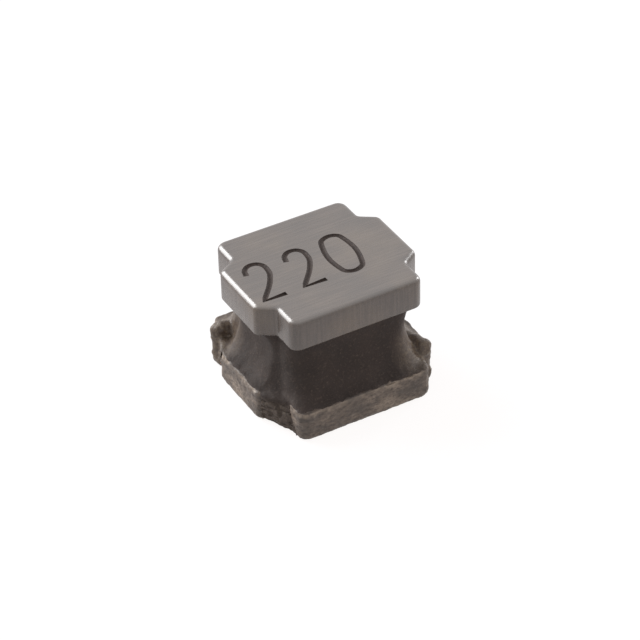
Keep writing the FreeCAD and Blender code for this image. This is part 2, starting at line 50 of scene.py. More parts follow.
core_low, core_high = (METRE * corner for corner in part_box("drum_core"))
resin_low, resin_high = (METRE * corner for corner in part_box("resin_shield"))
core_foot, flange_top = core_low.z, resin_low.z
window_top, core_top = resin_high.z, core_high.z

# The ground upper flange: a plate whose corner blocks stand back from its middle block.
top_plan = {"width": 5.80, "length": 5.07, "notch": 0.56, "mid": 2.26, "flank": 0.38}
CORNER_RADIUS, SHOULDER_RADIUS, NOTCH_RADIUS = 0.34, 0.24, 0.16   # of the upright edges
TOP_RIM, INNER_RIM = 0.19, 0.07   # roundings of its upper and of its lower rim
GROUND_BORDER = 0.03
SAME_PLACE, SAME_LEVEL = 0.01, 1e-4


def plan_corners(width, length, notch, mid, flank):
    """The twelve corners of a flange's plan, anticlockwise from the right front notch."""
    outer, inner, end = width / 2, width / 2 - notch, length / 2
    shoulder, root = mid / 2, mid / 2 + flank
    right = [(inner, -end), (inner, -root), (outer, -shoulder),
             (outer, shoulder), (inner, root), (inner, end)]
    return right + [(-x, -y) for x, y in right]


def prism(bm, corners, low, high):
    """Raises a prism over the corners of a plan. Gives its upper vertices."""
    foot_face = bm.faces.new([bm.verts.new((x, y, low)) for x, y in corners])
    made = bmesh.ops.extrude_face_region(bm, geom=[foot_face])["geom"]
    upper = [part for part in made if isinstance(part, bmesh.types.BMVert)]
    bmesh.ops.translate(bm, verts=upper, vec=(0, 0, high - low))
    return upper


def blocked_plate(plan, low, high):
    """A plate of a flange's plan with rounded upright edges."""
    bm = bmesh.new()
    prism(bm, plan_corners(**plan), low, high)
    bmesh.ops.recalc_face_normals(bm, faces=bm.faces)
    outer, inner = plan["width"] / 2, plan["width"] / 2 - plan["notch"]
    shoulder, root = plan["mid"] / 2, plan["mid"] / 2 + plan["flank"]
    flank_turn = math.atan2(plan["notch"], plan["flank"])
    for x, y, radius, turn in (
        (inner, plan["length"] / 2, CORNER_RADIUS, math.pi / 2),
        (outer, shoulder, SHOULDER_RADIUS, flank_turn),
        (inner, root, NOTCH_RADIUS, flank_turn),
    ):
        edges = [edge for edge in bm.edges
                 if abs(edge.verts[0].co.z - edge.verts[1].co.z) > (high - low) / 2
                 and math.hypot(abs(edge.verts[0].co.x) - x, abs(edge.verts[0].co.y) - y) < SAME_PLACE]
        bmesh.ops.bevel(bm, geom=edges, offset=radius * math.tan(turn / 2), segments=6,
                        profile=0.5, affect="EDGES", material=-1)
    return bm


def level_edges(bm, height):
    """The edges of the rim that lies at one height."""
    return [edge for edge in bm.edges
            if all(abs(vert.co.z - height) < SAME_LEVEL for vert in edge.verts)]


def new_piece(name, bm):
    """An object of that mesh, still in millimetres."""
    mesh = bpy.data.meshes.new(name)
    bm.to_mesh(mesh)
    bm.free()
    piece = bpy.data.objects.new(name, mesh)
    bpy.context.scene.collection.objects.link(piece)
    return piece


bm = blocked_plate(top_plan, window_top, core_top)
bmesh.ops.bevel(bm, geom=level_edges(bm, core_top), offset=TOP_RIM, segments=8, profile=0.5,
                affect="EDGES", material=-1)
bmesh.ops.bevel(bm, geom=level_edges(bm, window_top), offset=INNER_RIM, segments=3, profile=0.5,
                affect="EDGES", material=-1)
top_face = max(bm.faces, key=lambda face: face.calc_area() * face.normal.z)
bmesh.ops.inset_region(bm, faces=[top_face], thickness=GROUND_BORDER)
drum_core = new_piece("drum_core_ferrite", bm)

# The post that it stands on.
POST_RADIUS = 1.25
POST_LAP = 0.1   # how far it reaches into each flange


def apply_modifiers(piece):
    """Puts what the modifiers make into the mesh."""
    graph = bpy.context.evaluated_depsgraph_get()
    mesh = bpy.data.meshes.new_from_object(piece.evaluated_get(graph))
    piece.modifiers.clear()
    old, piece.data = piece.data, mesh
    bpy.data.meshes.remove(old)


def boolean(piece, tool, operation):
    """Cuts the tool from the piece or adds it, then removes the tool."""
    modifier = piece.modifiers.new(operation, "BOOLEAN")
    modifier.operation = operation
    modifier.solver = "EXACT"
    modifier.use_self = True
    modifier.material_mode = "TRANSFER"
    modifier.object = tool
    apply_modifiers(piece)
    bpy.data.objects.remove(tool)


def round_bar(name, radius, length, segments):
    """An upright cylinder about the middle of the room between the flanges."""
    bm = bmesh.new()
    bmesh.ops.create_cone(bm, cap_ends=True, segments=segments, radius1=radius, radius2=radius,
                          depth=length)
    bmesh.ops.translate(bm, verts=bm.verts, vec=(0, 0, (window_top + flange_top) / 2))
    return new_piece(name, bm)


boolean(drum_core, round_bar("post", POST_RADIUS, window_top - flange_top + 2 * POST_LAP, 64), "UNION")

# Chips out of the upper flange's lower rim, more of them at the torn front left notch.
CHIP_RADIUS, CHIP_SPACING, TORN_CHIPS = 0.12, 0.6, 9
CHIP_RISE, TORN_RISE = 0.85, 0.55   # how much of its radius a chip's middle lies off the rim
bm = bmesh.new()
rim = [Vector((x, y, window_top)) for x, y in plan_corners(**top_plan)]
for i, corner in enumerate(rim):
    following = rim[(i + 1) % len(rim)]
    torn = all(end.x < 0 and end.y < 0 for end in (corner, following))
    count = TORN_CHIPS if torn else math.ceil((following - corner).length / CHIP_SPACING)
    outward = (following - corner).normalized().cross(Vector((0, 0, 1)))
    off_the_rim = (outward - Vector((0, 0, 0.4))).normalized()
    for step in range(count):
        wander = 0.4 * noise.noise(corner * 3 + Vector((step, 0, 7)))
        place = corner.lerp(following, (step + 0.5 + wander) / count)
        radius = CHIP_RADIUS * (1.0 + 0.5 * noise.noise(place * 5 + Vector((1, 2, 3))))
        place += off_the_rim * radius * (TORN_RISE if torn else CHIP_RISE)
        bmesh.ops.create_icosphere(bm, subdivisions=2, radius=radius, matrix=Matrix.Translation(place))
boolean(drum_core, new_piece("rim_chips", bm), "DIFFERENCE")

# The number in the top: plain digits, sunk by a marking tool with a round tip.
DIGIT_HEIGHT, DIGIT_WIDTH = 1.86, 0.78
DIGIT_PLACES = [-2.38, -0.96, 0.44]   # left ends of the digits along X
DIGIT_FOOT = -0.98
SLANT = math.radians(4.5)
STROKE_RADIUS, STROKE_DEPTH = 0.10, 0.065
TWO = [(0.04, 0.76, "AUTO"), (0.16, 0.93, "AUTO"), (0.50, 1.0, "AUTO"), (0.86, 0.93, "AUTO"),
       (0.98, 0.74, "AUTO"), (0.86, 0.53, "AUTO"), (0.0, 0.0, "VECTOR"), (1.0, 0.0, "VECTOR")]
ZERO = [(0.0, 0.14, "AUTO"), (0.0, 0.86, "AUTO"), (0.20, 1.0, "AUTO"), (0.80, 1.0, "AUTO"),
        (1.0, 0.86, "AUTO"), (1.0, 0.14, "AUTO"), (0.80, 0.0, "AUTO"), (0.20, 0.0, "AUTO")]


def digit_stroke(curve, points, left, closed):
    """Adds a digit's centre line to the curve."""
    spline = curve.splines.new("BEZIER")
    spline.bezier_points.add(len(points) - 1)
    spline.use_cyclic_u = closed
    spline.resolution_u = 8
    for knot, (across, up, kind) in zip(spline.bezier_points, points):
        y = DIGIT_FOOT + up * DIGIT_HEIGHT
        x = left + across * DIGIT_WIDTH + y * math.tan(SLANT)
        knot.co = (x, y, core_top + STROKE_RADIUS - STROKE_DEPTH)
        knot.handle_left_type = knot.handle_right_type = kind


curve = bpy.data.curves.new("number", "CURVE")
curve.dimensions = "3D"
curve.bevel_depth = STROKE_RADIUS
curve.bevel_resolution = 4
curve.use_fill_caps = True
for points, left, closed in zip((TWO, TWO, ZERO), DIGIT_PLACES, (False, False, True)):
    digit_stroke(curve, points, left, closed)
number = bpy.data.objects.new("number", curve)
bpy.context.scene.collection.objects.link(number)
graph = bpy.context.evaluated_depsgraph_get()
number_mesh = bpy.data.meshes.new_from_object(number.evaluated_get(graph))
number_tool = bpy.data.objects.new("number_tool", number_mesh)
bpy.context.scene.collection.objects.link(number_tool)
bpy.data.objects.remove(number)


def srgb(code):
    """Linear colour from an sRGB hex code."""
    parts = [int(code[i:i + 2], 16) / 255 for i in (0, 2, 4)]
    return [part / 12.92 if part <= 0.04045 else ((part + 0.055) / 1.055) ** 2.4
            for part in parts] + [1.0]


COLOUR_A, COLOUR_B, COLOUR_OUT = 6, 7, 2   # the colour sockets of a Mix node


def node(tree, kind, inputs=(), stops=(), **settings):
    """Adds a node, and sets its properties, its inputs and the colour stops of a ramp.

    An input that is given another node's socket is linked to it.
    """
    made = tree.nodes.new(kind)
    for name, value in settings.items():
        setattr(made, name, value)
    for key, value in dict(inputs).items():
        if isinstance(value, bpy.types.NodeSocket):
            tree.links.new(value, made.inputs[key])
        else:
            made.inputs[key].default_value = value
    for i, (place, code) in enumerate(stops):
        elements = made.color_ramp.elements
        element = elements[i] if i < 2 else elements.new(place)
        element.position, element.color = place, srgb(code)
    return made


def new_material(name, **finish):
    """A material whose Principled shader has constant settings, and its tree and shader."""
    material = bpy.data.materials.new(name)
    material.use_nodes = True
    tree = material.node_tree
    shader = tree.nodes["Principled BSDF"]
    for key, value in finish.items():
        shader.inputs[key.replace("_", " ")].default_value = value
    return material, tree, shader


def drive(tree, shader, sources):
    """Links the shader's inputs to what gives their values."""
    for key, source in sources.items():
        tree.links.new(source, shader.inputs[key])


def give_material(piece, material):
    """Makes it the piece's only material. The slot that a Boolean leaves empty goes."""
    piece.data.materials.clear()
    piece.data.materials.append(material)


def ground_ferrite():
    """Ground and tumbled ferrite: a dense warm grey ceramic with a dull sheen. The wheel left fine
    lines along its top, and the press left upright ones on its sides, which are less glossy.
    """
    material, tree, shader = new_material("ground_tumbled_ferrite", IOR=2.25)
    place = node(tree, "ShaderNodeTexCoord").outputs["Object"]
    along_x = node(tree, "ShaderNodeMapping", {"Vector": place, "Scale": (0.035, 1, 1)}).outputs["Vector"]
    along_z = node(tree, "ShaderNodeMapping", {"Vector": place, "Scale": (1, 1, 0.05)}).outputs["Vector"]
    clouds = node(tree, "ShaderNodeTexNoise",
                  {"Vector": place, "Scale": METRE / 1.8, "Detail": 3}).outputs["Fac"]
    specks = node(tree, "ShaderNodeTexNoise",
                  {"Vector": place, "Scale": METRE / 0.08, "Detail": 3}).outputs["Fac"]
    wheel_lines = node(tree, "ShaderNodeTexNoise",
                       {"Vector": along_x, "Scale": METRE / 0.06, "Detail": 2}).outputs["Fac"]
    press_lines = node(tree, "ShaderNodeTexNoise",
                       {"Vector": along_z, "Scale": METRE / 0.07, "Detail": 3}).outputs["Fac"]
    normal = node(tree, "ShaderNodeNewGeometry").outputs["Normal"]
    upward = node(tree, "ShaderNodeSeparateXYZ", {"Vector": normal}).outputs["Z"]
    top = node(tree, "ShaderNodeMapRange",
               {"Value": upward, "From Min": 0.55, "From Max": 0.9}).outputs["Result"]
    lines = node(tree, "ShaderNodeMix",
                 {"Factor": top, "A": press_lines, "B": wheel_lines}).outputs["Result"]
    base = node(tree, "ShaderNodeValToRGB", {"Fac": clouds},
                stops=[(0.32, "463D39"), (0.5, "4E433D"), (0.68, "5C4F44")]).outputs["Color"]
    dark_share = node(tree, "ShaderNodeMapRange", {"Value": specks, "From Min": 0.4, "From Max": 0.8,
                                                   "To Max": 0.35}).outputs["Result"]
    base = node(tree, "ShaderNodeMix", {"Factor": dark_share, COLOUR_A: base, COLOUR_B: srgb("3A3330")},
                data_type="RGBA").outputs[COLOUR_OUT]
    light_share = node(tree, "ShaderNodeMapRange", {"Value": lines, "From Min": 0.42, "From Max": 0.7,
                                                    "To Max": 0.4}).outputs["Result"]
    base = node(tree, "ShaderNodeMix", {"Factor": light_share, COLOUR_A: base, COLOUR_B: srgb("6C5F57")},
                data_type="RGBA").outputs[COLOUR_OUT]
    dullness = node(tree, "ShaderNodeMapRange", {"Value": specks, "From Min": 0.3, "From Max": 0.8,
                                                 "To Min": 0.24, "To Max": 0.36}).outputs["Result"]
    relief = node(tree, "ShaderNodeBump", {"Height": lines, "Distance": 0.004 / METRE}).outputs["Normal"]
    relief = node(tree, "ShaderNodeBump", {"Height": specks, "Distance": 0.003 / METRE,
                                           "Normal": relief}).outputs["Normal"]
    gloss = node(tree, "ShaderNodeMapRange",
                 {"Value": top, "To Min": 0.22, "To Max": 0.5}).outputs["Result"]
    drive(tree, shader, {"Base Color": base, "Roughness": dullness, "Specular IOR Level": gloss,
                         "Normal": relief})
    return material


def marked_ferrite():
    """Ferrite where the marking tool passed: burnt nearly black, rougher than the ground face."""
    material, tree, shader = new_material("marked_ferrite", IOR=1.4, Roughness=0.7)
    place = node(tree, "ShaderNodeTexCoord").outputs["Object"]
    specks = node(tree, "ShaderNodeTexNoise",
                  {"Vector": place, "Scale": METRE / 0.06, "Detail": 4}).outputs["Fac"]
    base = node(tree, "ShaderNodeValToRGB", {"Fac": specks},
                stops=[(0.3, "241C1A"), (0.75, "463A35")]).outputs["Color"]
    relief = node(tree, "ShaderNodeBump", {"Height": specks, "Distance": 0.010 / METRE}).outputs["Normal"]
    drive(tree, shader, {"Base Color": base, "Normal": relief})
    return material


def smooth_by_angle(piece, degrees):
    """Smooth shading, with the edges that turn more than an angle kept sharp."""
    bm = bmesh.new()
    bm.from_mesh(piece.data)
    for face in bm.faces:
        face.smooth = True
    for edge in bm.edges:
        if edge.is_manifold and edge.calc_face_angle() > math.radians(degrees):
            edge.smooth = False
    bm.to_mesh(piece.data)
    bm.free()


SHARP_FROM = 32   # degrees
give_material(drum_core, ground_ferrite())
give_material(number_tool, marked_ferrite())
boolean(drum_core, number_tool, "DIFFERENCE")
smooth_by_angle(drum_core, SHARP_FROM)

# The rough lower flange, with a groove for each lead end across its underside.
bottom_plan = {"width": core_high.x - core_low.x, "length": core_high.y - core_low.y,
               "notch": 0.62, "mid": 2.36, "flank": 0.59}
bottom_root = bottom_plan["mid"] / 2 + bottom_plan["flank"]   # where a flank meets a corner block
GROOVE_X, GROOVE_HALF, GROOVE_TOP = 2.58, 0.25, 0.51
LOWER_VOXEL = 0.042


def remesh(piece, voxel):
    """One skin of even small faces."""
    modifier = piece.modifiers.new("skin", "REMESH")
    modifier.mode = "VOXEL"
    modifier.voxel_size = voxel
    apply_modifiers(piece)


lower = new_piece("lower_flange", blocked_plate(bottom_plan, core_foot, flange_top))
for side in (-1, 1):
    bm = bmesh.new()
    bmesh.ops.create_cube(bm, size=2)
    bmesh.ops.scale(bm, verts=bm.verts, vec=(GROOVE_HALF, bottom_root, GROOVE_TOP))
    bmesh.ops.translate(bm, verts=bm.verts, vec=(side * GROOVE_X, 0, 0))
    boolean(lower, new_piece("groove", bm), "DIFFERENCE")
remesh(lower, LOWER_VOXEL)

# Its skin: lumps all over, chips and wear along both rims, and cracks in layers in the notches.
SKIN_DEPTH, CHIP_DEPTH, WEAR_DEPTH, CRACK_DEPTH = 0.018, 0.08, 0.035, 0.08
FOOT_DEPTH, FOOT_LEAST = 0.04, 0.01
RIM_BAND, FOOT_BAND = 0.24, 0.14      # how far down and up the chips reach
NOTCH_BAND, NOTCH_FROM, NOTCH_RISE = 0.55, 1.9, 0.4   # where the cracks lie along Y and along X


def clamp(value, low=0.0, high=1.0):
    """The value, kept between two limits."""
    return max(low, min(high, value))


def fade(distance, reach):
    """1 at no distance, falling to 0 at the reach."""
    return clamp(1 - distance / reach)


def rough(place, size, seed):
    """Fractal noise from about -1 to 1, with lumps of that size in millimetres."""
    return noise.fractal(place / size + Vector((seed, 2 * seed, 3 * seed)), 1.0, 2.0, 4)


def patches(place, size, seed, contrast, level):
    """Patches from 0 to 1 of that size in millimetres. A higher level makes them wider."""
    return clamp(contrast * rough(place, size, seed) + level)


def off_the_seam(place, across, upward, shift):
    """0 on the seams between level layers, and more away from them."""
    squeezed = Vector((place.x * across, place.y * across, place.z * upward))
    return abs(noise.noise(squeezed + Vector(shift)))


def smoothed_skin(piece, steps):
    """The piece's mesh, smoothed, for its vertices to be moved."""
    bm = bmesh.new()
    bm.from_mesh(piece.data)
    for step in range(steps):
        bmesh.ops.smooth_vert(bm, verts=bm.verts, factor=0.5,
                              use_axis_x=True, use_axis_y=True, use_axis_z=True)
    bm.normal_update()
    return bm


def keep_skin(piece, bm):
    """Puts the mesh back into the piece, shaded smooth."""
    for face in bm.faces:
        face.smooth = True
    bm.to_mesh(piece.data)
    bm.free()


bm = smoothed_skin(lower, 2)
wear_layer = bm.verts.layers.float.new("wear")
crack_shade_layer = bm.verts.layers.float.new("crack_shade")
for vert in bm.verts:
    place = vert.co.copy()
    sideways = clamp(1.4 * math.hypot(vert.normal.x, vert.normal.y) - 0.2)
    top_rim = fade(flange_top - place.z, RIM_BAND) * sideways
    foot_rim = fade(place.z - core_foot, FOOT_BAND) * sideways
    notch = fade(abs(abs(place.y) - bottom_root), NOTCH_BAND)
    notch *= clamp((abs(place.x) - NOTCH_FROM) / NOTCH_RISE) * sideways
    cracked = notch * (1 - clamp(3.2 * off_the_seam(place, 1.6, 9, (7, 1, 4)) - 0.15))
    chips = patches(place, size=0.34, seed=5, contrast=1.8, level=0.15)
    worn = patches(place, size=0.9, seed=3, contrast=1.5, level=0.5)
    broken = patches(place, size=0.5, seed=2, contrast=1.0, level=0.5)
    depth = SKIN_DEPTH * (rough(place, size=0.2, seed=1) + 0.5)
    depth += (CHIP_DEPTH * chips + WEAR_DEPTH * worn) * top_rim
    depth += (FOOT_DEPTH * broken + FOOT_LEAST) * foot_rim
    depth += CRACK_DEPTH * cracked
    vert.co -= vert.normal * max(depth, 0)
    vert[wear_layer] = clamp(top_rim * (chips * 1.3 + 0.3) + 0.5 * foot_rim * chips)
    # The crack mask carries painted shade: it makes the cracks' colour nearly black where shade falls in
    # them.
    vert[crack_shade_layer] = clamp(cracked)
keep_skin(lower, bm)


def rough_ferrite():
    """Unground ferrite with a film of resin: brown grey and dull, lighter at chipped rims, dark in
    its pores, and painted nearly black in its cracks as painted shade.
    """
    material, tree, shader = new_material("rough_resin_stained_ferrite", IOR=1.6)
    place = node(tree, "ShaderNodeTexCoord").outputs["Object"]
    streaked = node(tree, "ShaderNodeMapping",
                    {"Vector": place, "Scale": (0.45, 0.45, 1)}).outputs["Vector"]
    clouds = node(tree, "ShaderNodeTexNoise",
                  {"Vector": streaked, "Scale": METRE / 0.5, "Detail": 6, "Roughness": 0.65}).outputs["Fac"]
    pores = node(tree, "ShaderNodeTexNoise",
                 {"Vector": streaked, "Scale": METRE / 0.09, "Detail": 4, "Roughness": 0.7}).outputs["Fac"]
    wear = node(tree, "ShaderNodeAttribute", attribute_name="wear").outputs["Fac"]
    crack_shade = node(tree, "ShaderNodeAttribute", attribute_name="crack_shade").outputs["Fac"]
    base = node(tree, "ShaderNodeValToRGB", {"Fac": clouds},
                stops=[(0.32, "382E28"), (0.5, "5C4F45"), (0.68, "8A7B6E")]).outputs["Color"]
    pore_share = node(tree, "ShaderNodeMapRange", {"Value": pores, "From Min": 0.46, "From Max": 0.66,
                                                   "To Max": 0.85}).outputs["Result"]
    base = node(tree, "ShaderNodeMix", {"Factor": pore_share, COLOUR_A: base, COLOUR_B: srgb("322A26")},
                data_type="RGBA").outputs[COLOUR_OUT]
    wear_share = node(tree, "ShaderNodeMapRange", {"Value": wear, "From Min": 0.05, "From Max": 0.8,
                                                   "To Max": 0.75}).outputs["Result"]
    base = node(tree, "ShaderNodeMix", {"Factor": wear_share, COLOUR_A: base, COLOUR_B: srgb("9C8D7F")},
                data_type="RGBA").outputs[COLOUR_OUT]
    # Painted shade: the cracks in the notches are painted nearly black.
    crack_shade_share = node(tree, "ShaderNodeMapRange", {"Value": crack_shade, "From Min": 0.2, "From Max": 0.9,
                                                    "To Max": 0.85}).outputs["Result"]
    base = node(tree, "ShaderNodeMix", {"Factor": crack_shade_share, COLOUR_A: base, COLOUR_B: srgb("231E1C")},
                data_type="RGBA").outputs[COLOUR_OUT]
    dullness = node(tree, "ShaderNodeMapRange", {"Value": pores, "From Min": 0.3, "From Max": 0.7,
                                                 "To Min": 0.42, "To Max": 0.68}).outputs["Result"]
    relief = node(tree, "ShaderNodeBump", {"Height": clouds, "Distance": 0.035 / METRE}).outputs["Normal"]
    relief = node(tree, "ShaderNodeBump", {"Height": pores, "Distance": 0.030 / METRE,
                                           "Normal": relief}).outputs["Normal"]
    drive(tree, shader, {"Base Color": base, "Roughness": dullness, "Normal": relief})
    return material


def join(first, second):
    """Makes two meshes one piece."""
    with bpy.context.temp_override(active_object=first, selected_editable_objects=[first, second]):
        bpy.ops.object.join()


def to_metres(piece):
    """Scales the finished mesh, so that the object itself stays at the origin and unscaled."""
    piece.data.transform(Matrix.Scale(1 / METRE, 4))


give_material(lower, rough_ferrite())
join(drum_core, lower)
to_metres(drum_core)
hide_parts("drum_core")
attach(drum_core, "root")

# The winding: enamelled copper wire, two layers on the post, wound by machine.
# Its two ends come down through notches and lie in the grooves of the lower flange.


def enamelled_copper():
    """Copper under clear enamel: a warm brown metal with a smooth coat."""
    material, tree, shader = new_material("enamelled_copper_wire", Metallic=1.0, Roughness=0.3,
                                          Coat_Weight=1.0, Coat_Roughness=0.08, Coat_IOR=1.6)
    place = node(tree, "ShaderNodeTexCoord").outputs["Object"]
    tarnish = node(tree, "ShaderNodeTexNoise", {"Vector": place, "Scale": METRE / 0.5}).outputs["Fac"]
    base = node(tree, "ShaderNodeValToRGB", {"Fac": tarnish},
                stops=[(0.3, "A65F2E"), (0.7, "C07A40")]).outputs["Color"]
    drive(tree, shader, {"Base Color": base})
    return material


give_material(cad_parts["winding"], enamelled_copper())

# The shield: epoxy resin filled with magnetic powder, spread round the winding and cured.
# It draws in to a waist between the flanges, thins out over the lower one and covers the
# lead ends in two of its notches.
RESIN_FOOT = {"width": 5.92, "length": 5.92, "notch": 0.60, "mid": 2.28, "flank": 0.59, "corner": 0.34}
RESIN_WAIST = {"width": 4.56, "length": 4.50, "notch": 0.12, "mid": 2.10, "flank": 0.30, "corner": 0.84}
RESIN_HEAD = {"width": 5.44, "length": 4.71, "notch": 0.52, "mid": 1.94, "flank": 0.38, "corner": 0.50}
WAIST_HEIGHT = 1.28     # above the lower flange
COIL_RADIUS = 2.02      # outside of the winding
RESIN_LAP = 0.08        # how far it laps over the flange's rim
COVE_STEPS, FLARE_STEPS = 9, 4


def between(first, second, share):
    """Sizes of an outline part of the way from one to another."""
    return {key: first[key] * (1 - share) + second[key] * share for key in first}


def resin_ring(bm, sizes, height):
    """The resin's outline at one height, with rounded corners. Gives its edges."""
    plan = {key: value for key, value in sizes.items() if key != "corner"}
    corners = [bm.verts.new((x, y, height)) for x, y in plan_corners(**plan)]
    bm.faces.new(corners)
    ends = [vert for vert in corners if abs(abs(vert.co.y) - sizes["length"] / 2) < SAME_LEVEL]
    bmesh.ops.bevel(bm, geom=ends, offset=sizes["corner"], segments=6, profile=0.5,
                    affect="VERTICES", material=-1)
    return level_edges(bm, height)


levels = [(flange_top - RESIN_LAP, RESIN_FOOT)]
for step in range(COVE_STEPS + 1):
    height = (step / COVE_STEPS) ** 2
    drawn_in = math.sqrt(1 - (1 - height) ** 2)
    levels.append((flange_top + height * WAIST_HEIGHT, between(RESIN_FOOT, RESIN_WAIST, drawn_in)))
for step in range(1, FLARE_STEPS + 1):
    part = step / FLARE_STEPS
    height = flange_top + WAIST_HEIGHT + part * (window_top - flange_top - WAIST_HEIGHT)
    levels.append((height, between(RESIN_WAIST, RESIN_HEAD, part ** 2)))

bm = bmesh.new()
rings = [resin_ring(bm, sizes, height) for height, sizes in levels]
end_faces = [choose(bm.faces, key=lambda face: face.calc_center_median().z) for choose in (min, max)]
bmesh.ops.delete(bm, geom=[face for face in bm.faces if face not in end_faces], context="FACES_ONLY")
for lower_ring, upper_ring in zip(rings, rings[1:]):
    bmesh.ops.bridge_loops(bm, edges=lower_ring + upper_ring)
bmesh.ops.recalc_face_normals(bm, faces=bm.faces)
resin = new_piece("magnetic_resin_shield", bm)

# The room that the winding takes, cut through both ends.
room_length = 2 * (window_top - flange_top)
boolean(resin, round_bar("winding_room", COIL_RADIUS, room_length, 96), "DIFFERENCE")

# Resin that ran out with the two lead ends and down their notches, in rows of beads.
LEAD_Y, LEAD_HEIGHT = 2.07, 1.30     # where both leads turn down, each above its groove
LEAD_LAYERS = ((1, 1.84, 16.9), (-1, 1.46, 75.6))   # side, layer radius, angle of leaving it
RUN_RADIUS, RUN_FROM = 0.24, 0.3     # over a lead, from this share of its way to the turn
COAT_RADIUS = {1: 0.27, -1: 0.235}   # down its notch
COAT_FOOT, BEND_HEIGHT = 0.20, 0.26  # end of the coat, and where the lead turns into its groove
BEND_RADIUS, BEND_TO = 0.25, 0.87
BEAD_SPACING, BEAD_CHANGE, BEAD_WANDER = 0.12, 0.10, 0.02
runs = []
for side, layer_radius, angle in LEAD_LAYERS:
    leave = Vector((layer_radius * math.cos(math.radians(angle)),
                    layer_radius * math.sin(math.radians(angle)), LEAD_HEIGHT))
    turn = Vector((side * GROOVE_X, -side * LEAD_Y, LEAD_HEIGHT))
    bend = Vector((turn.x, turn.y, BEND_HEIGHT))
    runs.append((leave.lerp(turn, RUN_FROM), turn, RUN_RADIUS))
    runs.append((turn, Vector((turn.x, turn.y, COAT_FOOT)), COAT_RADIUS[side]))
    runs.append((bend, Vector((turn.x, BEND_TO * turn.y, BEND_HEIGHT)), BEND_RADIUS))
bm = bmesh.new()
for start, end, radius in runs:
    count = math.ceil((end - start).length / BEAD_SPACING)
    for i in range(count + 1):
        place = start.lerp(end, i / count)
        bead_radius = radius * (1 + BEAD_CHANGE * noise.noise(place * 4))
        place += noise.noise_vector(place * 5) * BEAD_WANDER
        bmesh.ops.create_icosphere(bm, subdivisions=3, radius=bead_radius,
                                   matrix=Matrix.Translation(place))
join(resin, new_piece("resin_beads", bm))

# What ran out through three notches fills them flush, in the front left one down to the foot.
SPILL_CORNERS = ((2.95, 1.26), (2.30, 1.66), (2.34, 2.72))
SPILL_TOP = 1.12
SPILLS = ((-1, -1, 0.12, 0.62), (-1, 1, 0.45, 0.4), (1, -1, 0.45, 0.4))   # X, Y, foot, narrowing
for turn_x, turn_y, foot, narrowing in SPILLS:
    bm = bmesh.new()
    upper = prism(bm, [(turn_x * x, turn_y * y) for x, y in SPILL_CORNERS], foot, SPILL_TOP)
    farthest = max(upper, key=lambda vert: abs(vert.co.y))
    bmesh.ops.translate(bm, verts=[farthest], vec=(0, -turn_y * narrowing, 0))
    bmesh.ops.recalc_face_normals(bm, faces=bm.faces)
    join(resin, new_piece("resin_spill", bm))

# Its skin: slow waves, lumps over the leads, and splits in layers in the filled notches.
RESIN_VOXEL = 0.045
WAVE_DEPTH, FOOT_WAVE_DEPTH, RUN_DEPTH, SPLIT_DEPTH = 0.025, 0.038, 0.05, 0.08
SPILL_DEPTH, SPILL_LEAST = 0.03, 0.02
FOOT_WAVE_BAND = 0.45
RUN_CORE, RUN_BAND = 0.3, 0.35       # from a lead's middle, the end of the lumps and their fading
# The thin resin's mask also paints it lighter, partly as painted light.
THIN_CORE, THIN_BAND = 0.35, 1.1     # the same for the thin resin that looks varnished
SPILL_VARNISH_AND_LIGHT = 0.35
LEAD_COVER = 0.21                    # from the middle of a lead to the resin's skin, at least
SIDE_MARGIN, END_MARGIN, FOOT_MARGIN, HEAD_LAP = 0.005, 0.01, 0.03, 0.01
remesh(resin, RESIN_VOXEL)


def nearest_on_runs(place):
    """The point nearest to a place on the middle lines of the resin over the leads."""
    points = []
    for start, end, _ in runs:
        along = end - start
        share = clamp((place - start).dot(along) / along.length_squared)
        points.append(start + along * share)
    return min(points, key=lambda point: (place - point).length)


bm = smoothed_skin(resin, 8)
varnish_and_light_layer = bm.verts.layers.float.new("varnish_and_light")
side_limit = bottom_plan["width"] / 2 - SIDE_MARGIN
end_limit = bottom_plan["length"] / 2 - END_MARGIN
for vert in bm.verts:
    place = vert.co.copy()
    outside = clamp((math.hypot(place.x, place.y) - COIL_RADIUS - 0.1) / 0.2)
    below = clamp((flange_top - RESIN_LAP - place.z) / 0.1)
    foot = fade(place.z - flange_top, FOOT_WAVE_BAND) * (1 - below)
    from_run = (place - nearest_on_runs(place)).length
    near_run = fade(from_run - RUN_CORE, RUN_BAND)
    split = clamp(1 - 6 * off_the_seam(place, 1.5, 6, (2, 5, 1))) * below * (1 - near_run)
    depth = WAVE_DEPTH * rough(place, size=0.6, seed=8)
    depth += FOOT_WAVE_DEPTH * rough(place, size=0.5, seed=9) * foot
    depth += RUN_DEPTH * rough(place, size=0.35, seed=11) * near_run
    depth += (SPILL_DEPTH * rough(place, size=0.3, seed=12) + SPILL_LEAST) * below
    depth += SPLIT_DEPTH * split
    vert.co -= vert.normal * depth * outside
    lead = nearest_on_runs(vert.co)
    from_lead = vert.co - lead
    if 0.01 < from_lead.length < LEAD_COVER:
        vert.co = lead + from_lead.normalized() * LEAD_COVER
    vert.co.x = clamp(vert.co.x, -side_limit, side_limit)
    vert.co.y = clamp(vert.co.y, -end_limit, end_limit)
    vert.co.z = clamp(vert.co.z, core_foot + FOOT_MARGIN, window_top + HEAD_LAP)
    # The varnish mask is partly painted light: besides the gloss, it paints the resin lighter round the
    # leads and in the spills.
    vert[varnish_and_light_layer] = max(fade(from_run - THIN_CORE, THIN_BAND), SPILL_VARNISH_AND_LIGHT * below)
keep_skin(resin, bm)


